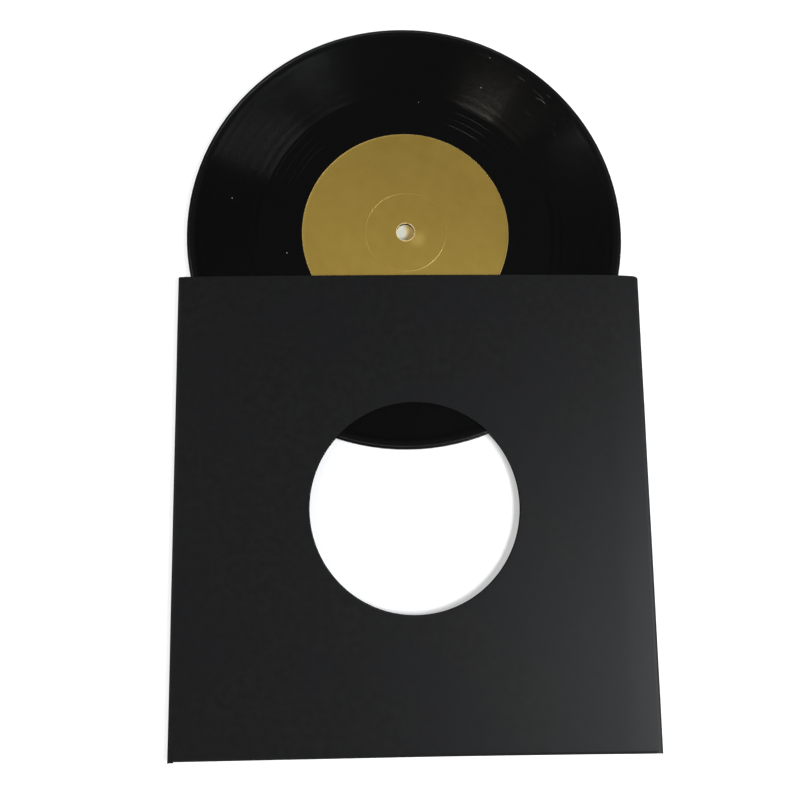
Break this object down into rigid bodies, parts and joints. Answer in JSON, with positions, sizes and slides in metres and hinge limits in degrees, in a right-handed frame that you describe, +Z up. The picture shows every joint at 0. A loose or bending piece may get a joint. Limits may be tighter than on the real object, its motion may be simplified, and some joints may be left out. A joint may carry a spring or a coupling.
{
  "type": "vinyl record in sleeve",
  "caption": "Small black vinyl record with plain gold paper labels and a small spindle hole, half drawn from a black card sleeve with a round window.",
  "frame": {"origin": "on the surface that the sleeve lies on, below the middle of the whole length of the sleeve and the drawn-out record", "axes": "+Y out of the sleeve's mouth, along which the record is drawn; +Z up, out of the front panel and along the spindle hole; +X to the right, seen from the front"},
  "size_m": [0.1834, 0.2888, 0.0034],
  "materials": {
    "vinyl": "gloss",
    "label_paper": "matte",
    "sleeve_card": "matte",
    "glue": "satin"
  },
  "bodies": {
    "sleeve": {"sleeve_front_panel": "sleeve_card", "sleeve_back_panel": "sleeve_card", "sleeve_spine_fold": "sleeve_card", "sleeve_left_fold": "sleeve_card", "sleeve_right_fold": "sleeve_card", "left_glue_flap": "sleeve_card", "right_glue_flap": "sleeve_card", "left_glue_line": "glue", "right_glue_line": "glue"},
    "record": {"vinyl_disc": "vinyl", "label_side_a": "label_paper", "label_side_b": "label_paper"}
  },
  "joints": [
    {"name": "record_slide", "type": "slide", "parent": "sleeve", "child": "record", "axis": [0, 1, 0], "range_m": [-0.1131, 0.072]}
  ]
}
